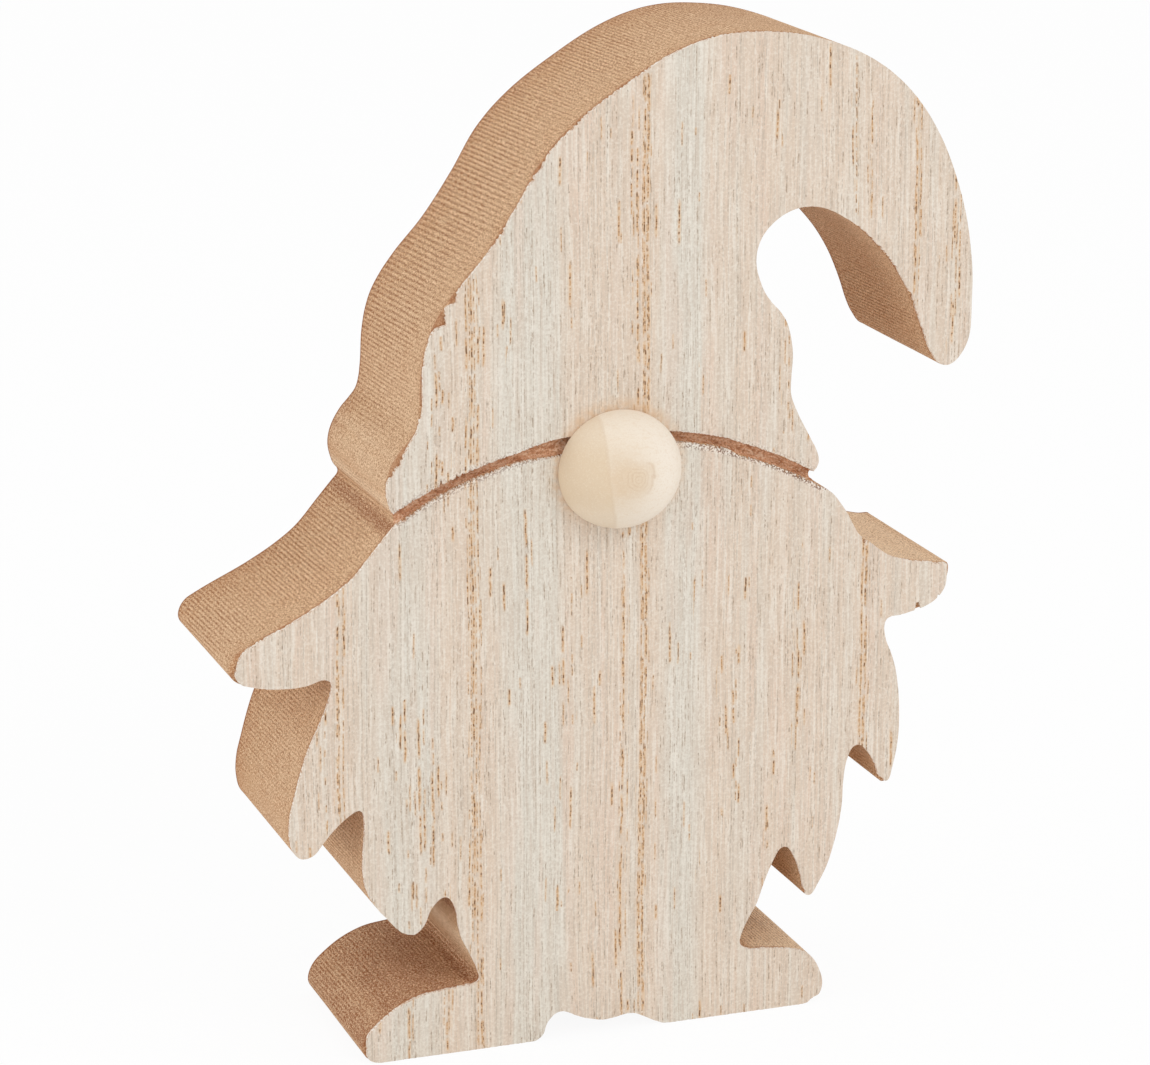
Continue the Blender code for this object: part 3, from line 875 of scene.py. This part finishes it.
def frayed_rim():
    """The outline of the face veneer, its upright fibres broken back, and chipped."""
    loop = rim.copy()
    upright = rim_normal[:, 1]
    wear = np.where(upright > 0, 1.0, LOWER_SIDE_SHARE)
    wear *= np.where(rim_normal[:, 0] < 0.2, 1.0, RIGHT_SIDE_SHARE)
    fibres = broken_fibres(rim[:, 0], FINE_BUNDLE, seed=60) * FINE_FRAY
    fibres += broken_fibres(rim[:, 0], COARSE_BUNDLE, seed=65) * COARSE_FRAY
    patchy = 0.65 + 0.35 * wander(rim_count, spacing=40, seed=66)
    loop[:, 1] -= upright * wear * fibres * patchy
    inset = EDGE_WEAR * (0.5 + 0.5 * wander(rim_count, spacing=2.2, seed=61)) * wear
    for x, z, length, deep in WORN_SPOTS:
        near = np.clip(rim_gap(x, z) / (length / 2), 0.0, 1.0)
        inset = np.maximum(inset, deep * (0.5 + 0.5 * np.cos(math.pi * near)))
    loop -= rim_normal * inset[:, None]
    steep = np.clip((-rim_normal[:, 0] - 0.35) / 0.3, 0.0, 1.0) * (rim[:, 1] > STEPPED_FROM)
    patchy = np.clip(0.2 + 1.1 * wander(rim_count, spacing=26, seed=67), 0.0, 1.0)
    loop[:, 0] += steep * patchy * grain_step(loop[:, 0], seed=68)
    ragged = 0.12 * wander(rim_count, spacing=2.0, seed=64)
    for cut_x, low_z, high_z in GRAIN_CHIPS:
        share = np.clip((rim[:, 1] - low_z) / 0.35, 0.0, 1.0) * (rim[:, 1] < high_z)
        near = rim_gap(cut_x, (low_z + high_z) / 2) < 4.0
        reach = np.maximum(cut_x + ragged - loop[:, 0], 0.0)
        loop[:, 0] += np.where(near, reach * share, 0.0)
    for x, z, width, deep in EDGE_SPLITS:
        share = np.clip((width / 2 - np.abs(rim[:, 0] - x)) / 0.1, 0.0, 1.0)
        loop[:, 1] -= np.where(rim_gap(x, z) < 1.0, np.sign(upright) * share * deep, 0.0)
    loop[:, 1] = np.maximum(loop[:, 1], 0.0)
    return loop


def torn_lip(first, last, radius, way, roughness, splits, seed):
    """A lip of the groove between two of its ends, torn along the upright grain.

    way is 1 where the veneer lies above the lip and -1 where it lies below.
    """
    ends = [math.atan2(x - groove_middle[0], z - groove_middle[1]) for x, z in (first, last)]
    count = round(abs(ends[1] - ends[0]) * radius / LIP_STEP)
    turns = np.linspace(*ends, count + 2)[1:-1]
    loop = on_arc(turns, radius + stray(turns, way))
    x = loop[:, 0].copy()
    torn = LIP_FRAY * (0.5 + 0.5 * wander(count, 2.5, seed))
    torn += np.interp(x, ROUGH_X, roughness) * broken_fibres(x, LIP_BUNDLE, seed + 5)
    for middle, tall, width in splits:
        torn = np.maximum(torn, tall * np.clip(1.0 - np.abs(x - middle) / (width / 2), 0.0, 1.0))
    loop[:, 1] += way * torn
    return loop


def veneer_loops():
    """The closed outlines of the hat's and the body's veneer."""
    loop = frayed_rim()
    away = np.hypot(*(loop - groove_middle).T)
    high = loop[:, 1] > HAT_FROM_Z
    right = loop[:, 0] > GROOVE_END_X + SHOULDER_PAST_END
    shoulder = right & (loop[:, 1] < SHOULDER_TOP_Z)
    outlines = []
    for keep, *lip in (
        (high & (away > UPPER_RADIUS + CORNER) & ~shoulder,
         UPPER_RADIUS, 1.0, UPPER_ROUGHNESS, UPPER_SPLITS, 71),
        (~high | (away < LOWER_RADIUS) | shoulder,
         LOWER_RADIUS, -1.0, LOWER_ROUGHNESS, LOWER_SPLITS, 72),
    ):
        start = int(np.nonzero(keep & ~np.roll(keep, 1))[0][0])
        turned = np.roll(loop, -start, 0)
        part = turned[np.roll(keep, -start)]
        outlines.append(np.vstack([part, torn_lip(part[-1], part[0], *lip)]))
    return outlines


def face_veneer_finish():
    """The face's veneer, crumbled along the groove's lips, with warm painted shade round the nose.
    """
    finish, body, relief = veneer_finish("washed face veneer", 1.0)
    radius, _ = finish.round_a_point(groove_middle)
    off_centre = finish.minus(radius, (LOWER_RADIUS + UPPER_RADIUS) / 2)
    from_lip = finish.minus(finish.math("ABSOLUTE", off_centre), GROOVE_WIDTH / 2)
    close = finish.ease(from_lip, 0.75, 0.1)
    below = finish.math("LESS_THAN", off_centre, 0.0)
    right = finish.ease(finish.x, 6.0, 18.0, 0.6, 1.0)
    strength = finish.times(below, finish.minus(right, 0.35))
    close = finish.times(close, finish.plus(strength, 0.35))
    close = finish.times(close, finish.math("GREATER_THAN", finish.z, LIP_END_Z))
    crumb = finish.noise(finish.place, 4.2, 1.0)
    dark = finish.times(close, finish.ease(crumb, 0.52, 0.58, 0.0, 0.9))
    body = finish.mix(dark, body, DARK_CRUMB)
    white = finish.times(close, finish.ease(crumb, 0.46, 0.38, 0.0, 0.55))
    body = finish.mix(white, body, LIGHT_CRUMB)
    # Warm painted shade round the nose's rim, fainter towards the bottom
    distance, _ = finish.round_a_point(NOSE_MIDDLE)
    patchy = finish.noise(finish.place, 1.1, 2.0)
    stain = finish.ease(distance, NOSE_HALF[0] + 1.8, NOSE_HALF[0] - 0.4, 0.0, 0.7)
    stain = finish.times(stain, finish.ease(patchy, 0.35, 0.65, 0.3, 1.0))
    stain = finish.times(stain, finish.ease(finish.z, 67.0, 72.0, 0.1, 1.0))
    return finish.dress(finish.mix(stain, body, NOSE_CONTACT_SHADE), relief, VENEER_RELIEF)


nose_low, nose_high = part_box("nose")
NOSE_MIDDLE = ((nose_low.x + nose_high.x) / 2 / MM, (nose_low.z + nose_high.z) / 2 / MM)
NOSE_HALF = ((nose_high.x - nose_low.x) / 2 / MM, (nose_high.z - nose_low.z) / 2 / MM)

face_finish = face_veneer_finish()
for part, loop in zip(("hat", "body"), veneer_loops()):
    name = part + "_veneer_sheet"
    sheet = stacked_mesh(
        name, [(FACE_Y, loop), (CORE_FRONT, loop)],
        front_material=1, side_material=0, back_material=0,
    )
    make_piece(name, sheet, [edge_finish, face_finish], "veneer", part + "_veneer")

# Nose
# A plain domed button, turned from pale close-grained wood, sanded smooth and
# glued flat over the groove. It was cut across the branch, so the middle of the
# growth rings lies at its tip.

NOSE_TURNS = 96
NOSE_STEPS = 28
NOSE_RIM_EASE = 0.3
NOSE_SHARP_ANGLE = math.radians(40.0)
NOSE_TIP = nose_low.y / MM
PITH = (1.15, 75.1)
RING_PITCH = 0.45
# A power of 2 would make the growth rings round, and a higher one makes them squarish
RING_POWER = 2.6
# The warmer wood's edge: its x at the pith's height, its lean and its bow
HEARTWOOD_X = -2.3
HEARTWOOD_LEAN = -0.115
HEARTWOOD_BOW = 0.025
# The brown blotch by the pith: how far right of it, and its width over its height
BLOTCH_X = -0.8
BLOTCH_WIDE = 1.4
RING_SPOT = (3.3, 75.3)
# The end tones are painted light towards the top and bottom, and the rim tone a painted highlight on
# the right
LEFT_MIDDLE = tone(222, 201, 173)
LEFT_END_HIGHLIGHT = tone(230, 213, 190)
RIGHT_MIDDLE = tone(227, 209, 186)
RIGHT_END_HIGHLIGHT = tone(237, 224, 206)
RIGHT_RIM_HIGHLIGHT = tone(244, 233, 218)
SEAM = tone(206, 178, 144)
BLOTCH = tone(221, 196, 165)
RING = tone(202, 168, 130)
RING_CHECK = tone(200, 164, 126)
DRAWN_FLECK = tone(222, 196, 162)
DARK_WOOD = tone(218, 192, 158)
LIGHT_WOOD = tone(248, 238, 221)
NOSE_RELIEF = 0.012


def squarish(finish, x, z):
    """The distance from the middle of a pattern whose rings are rounded squares."""
    sides = [finish.math("ABSOLUTE", side) for side in (x, z)]
    powers = [finish.math("POWER", side, RING_POWER) for side in sides]
    return finish.math("POWER", finish.plus(*powers), 1 / RING_POWER)


def nose_finish():
    """Pale wood, a shade warmer on its left, with faint rings round the pith. It has
    painted light towards its top and bottom, and a painted highlight on its right.
    """
    finish = Finish("turned pale wood", roughness=0.55)
    drift = finish.noise(finish.place, 0.5, 2.0)
    across = finish.minus(finish.x, PITH[0])
    above = finish.minus(finish.z, PITH[1])
    slope = finish.math("MULTIPLY_ADD", above, HEARTWOOD_BOW, HEARTWOOD_LEAN)
    edge = finish.math("MULTIPLY_ADD", above, slope, HEARTWOOD_X)
    edge = finish.plus(edge, finish.math("MULTIPLY_ADD", drift, 0.4, -0.2))
    past_edge = finish.minus(finish.x, edge)
    # Painted light towards the nose's top and bottom
    ends = finish.ease(finish.math("ABSOLUTE", above), 2.0, 6.0)
    left_wood = finish.mix(ends, LEFT_MIDDLE, LEFT_END_HIGHLIGHT)
    right_wood = finish.mix(ends, RIGHT_MIDDLE, RIGHT_END_HIGHLIGHT)
    body = finish.mix(finish.ease(past_edge, -0.3, 0.4), left_wood, right_wood)
    # Painted highlight on the nose's right
    body = finish.tint(body, finish.x, -1.5, 6.0, 1.0, RIGHT_RIM_HIGHLIGHT)
    body = finish.tint(body, finish.math("ABSOLUTE", past_edge), 0.3, 0.05, 0.16, SEAM)
    bent = finish.times(drift, 1.1)
    radius = finish.plus(squarish(finish, across, above), bent)
    wave = finish.math("SINE", finish.times(radius, 2 * math.pi / RING_PITCH))
    wide = finish.math("DIVIDE", finish.minus(across, BLOTCH_X), BLOTCH_WIDE)
    blotch = finish.plus(squarish(finish, wide, above), bent)
    body = finish.tint(body, blotch, 3.4, 1.6, 0.55, BLOTCH)
    near = finish.ease(radius, 3.0, 1.4, 0.0, 0.26)
    near = finish.times(near, finish.ease(drift, 0.35, 0.6, 0.4, 1.0))
    ring = finish.times(finish.ease(wave, 0.0, 0.9), near)
    body = finish.mix(ring, body, RING)
    check = finish.ease(finish.math("ABSOLUTE", finish.minus(radius, 2.7)), 0.3, 0.05)
    check = finish.times(check, finish.ease(across, 0.9, 1.9, 0.05, 0.25))
    spot, _ = finish.round_a_point(RING_SPOT)
    check = finish.math("MAXIMUM", check, finish.ease(spot, 0.55, 0.1, 0.0, 0.4))
    body = finish.mix(check, body, RING_CHECK)
    drawn_out = finish.vector(finish.times(finish.x, 0.3), finish.y, finish.z)
    flecks = finish.noise(drawn_out, 3.0, 3.0, 0.6)
    body = finish.tint(body, flecks, 0.50, 0.70, 0.22, DRAWN_FLECK)
    fine = finish.noise(finish.place, 5.0, 2.0, 0.7)
    body = finish.mottle(body, fine, 0.0, 0.2, 0.2, DARK_WOOD, LIGHT_WOOD)
    return finish.dress(body, fine, NOSE_RELIEF)


def nose_mesh():
    """A slightly oval dome on a flat back, the back's edge eased."""
    middle_x, middle_z = NOSE_MIDDLE
    half_x, half_z = NOSE_HALF
    profile = [(half_x - NOSE_RIM_EASE, FACE_Y)]
    dome = FACE_Y - NOSE_RIM_EASE
    for i in range(NOSE_STEPS):
        angle = math.pi / 2 * i / NOSE_STEPS
        profile.append((half_x * math.cos(angle), dome + (NOSE_TIP - dome) * math.sin(angle)))
    points = [(middle_x, FACE_Y, middle_z), (middle_x, NOSE_TIP, middle_z)]
    for across, y in profile:
        for k in range(NOSE_TURNS):
            turn = 2 * math.pi * k / NOSE_TURNS
            up = across * math.sin(turn) * half_z / half_x
            points.append((middle_x + across * math.cos(turn), y, middle_z + up))
    faces = []
    rings = len(profile)
    for k in range(NOSE_TURNS):
        n = (k + 1) % NOSE_TURNS
        faces.append((0, 2 + k, 2 + n))
        for ring in range(rings - 1):
            low, high = 2 + ring * NOSE_TURNS, 2 + (ring + 1) * NOSE_TURNS
            faces.append((low + k, high + k, high + n, low + n))
        top = 2 + (rings - 1) * NOSE_TURNS
        faces.append((top + k, 1, top + n))
    mesh = mesh_of("nose_turned", points, faces)
    mesh.shade_smooth()
    mesh.set_sharp_from_angle(angle=NOSE_SHARP_ANGLE)
    return mesh


make_piece("nose_turned", nose_mesh(), [nose_finish()], "turned_wood", "nose")

# Floor, light and camera
# A pale studio: a floor that keeps a soft shadow, a white backdrop, a large
# lamp to the upper right of the camera and a weaker one on the left. Lengths
# are in metres here, but for the camera's two places.

FLOOR_HALF = 6.0
FLOOR_PAINT = (0.95, 0.95, 0.95, 1.0)
# The share of the floor's white that the object's shadow doesn't darken
FLOOR_GLOW = 0.93
WHITE = (1.0, 1.0, 1.0, 1.0)


def seen_by_camera(tree):
    """1 for rays that show the background itself: straight, mirrored or through glass."""
    path = tree.nodes.new("ShaderNodeLightPath")
    total = path.outputs["Is Camera Ray"]
    for name in ("Is Glossy Ray", "Is Transmission Ray"):
        add = tree.nodes.new("ShaderNodeMath")
        add.operation = "MAXIMUM"
        tree.links.new(total, add.inputs[0])
        tree.links.new(path.outputs[name], add.inputs[1])
        total = add.outputs[0]
    return total


def floor_material():
    """Plain paint that takes the shadow, under a white glow that only the view shows."""
    material = bpy.data.materials.new("pale floor")
    material.use_nodes = True
    tree = material.node_tree
    tree.nodes.clear()
    out = tree.nodes.new("ShaderNodeOutputMaterial")
    paint = tree.nodes.new("ShaderNodeBsdfDiffuse")
    paint.inputs["Color"].default_value = FLOOR_PAINT
    glow = tree.nodes.new("ShaderNodeEmission")
    glow.inputs["Color"].default_value = WHITE
    glow.inputs["Strength"].default_value = 1.0
    share = tree.nodes.new("ShaderNodeMath")
    share.operation = "MULTIPLY"
    share.inputs[1].default_value = FLOOR_GLOW
    tree.links.new(seen_by_camera(tree), share.inputs[0])
    mix = tree.nodes.new("ShaderNodeMixShader")
    tree.links.new(share.outputs[0], mix.inputs[0])
    tree.links.new(paint.outputs[0], mix.inputs[1])
    tree.links.new(glow.outputs[0], mix.inputs[2])
    tree.links.new(mix.outputs[0], out.inputs[0])
    return material


floor_mesh = bpy.data.meshes.new("floor")
corners = [(x * FLOOR_HALF, y * FLOOR_HALF, 0.0) for x, y in ((-1, -1), (1, -1), (1, 1), (-1, 1))]
floor_mesh.from_pydata(corners, [], [(0, 1, 2, 3)])
floor_mesh.materials.append(floor_material())
floor = add_object("floor", floor_mesh)

SURROUND_LIGHT = 0.79

world = bpy.data.worlds.new("studio")
bpy.context.scene.world = world
world.use_nodes = True
sky = world.node_tree
surround = sky.nodes["Background"]
surround.inputs["Color"].default_value = WHITE
surround.inputs["Strength"].default_value = SURROUND_LIGHT
backdrop = sky.nodes.new("ShaderNodeBackground")
backdrop.inputs["Color"].default_value = WHITE
backdrop.inputs["Strength"].default_value = 1.0
sky_mix = sky.nodes.new("ShaderNodeMixShader")
sky.links.new(seen_by_camera(sky), sky_mix.inputs[0])
sky.links.new(surround.outputs[0], sky_mix.inputs[1])
sky.links.new(backdrop.outputs[0], sky_mix.inputs[2])
sky.links.new(sky_mix.outputs[0], sky.nodes["World Output"].inputs[0])

LAMP_AIM = Vector((0.0, 0.0, 0.06))


def add_lamp(name, place, size, watts):
    """A square lamp that looks at the middle of the figure."""
    data = bpy.data.lights.new(name, "AREA")
    data.size = size
    data.energy = watts
    lamp = add_object(name, data)
    lamp.location = place
    aim = LAMP_AIM - lamp.location
    lamp.rotation_euler = aim.to_track_quat("-Z", "Y").to_euler()


add_lamp("key", (0.35, -0.75, 0.75), size=0.45, watts=2.3)
add_lamp("side", (-0.85, -0.2, 0.3), size=0.5, watts=1.3)

CAMERA_AT = Vector((-163.6, -437.25, 199.4)) * MM
CAMERA_AIM = Vector((-4.45, -9.1, 67.1)) * MM
CAMERA_ROLL = math.radians(0.57)
LENS = 121.0

camera_data = bpy.data.cameras.new("camera")
camera_data.sensor_width = 36.0
camera_data.lens = LENS
camera_data.clip_start = 0.01
camera = add_object("camera", camera_data)
away = (CAMERA_AT - CAMERA_AIM).normalized()
level = Vector((0.0, 0.0, 1.0)).cross(away).normalized()
upright = away.cross(level)
right = level * math.cos(CAMERA_ROLL) + upright * math.sin(CAMERA_ROLL)
camera.matrix_world = Matrix.Translation(CAMERA_AT) @ Matrix(
    (right, away.cross(right), away)
).transposed().to_4x4()
bpy.context.scene.camera = camera
bpy.context.scene.view_settings.view_transform = "Standard"
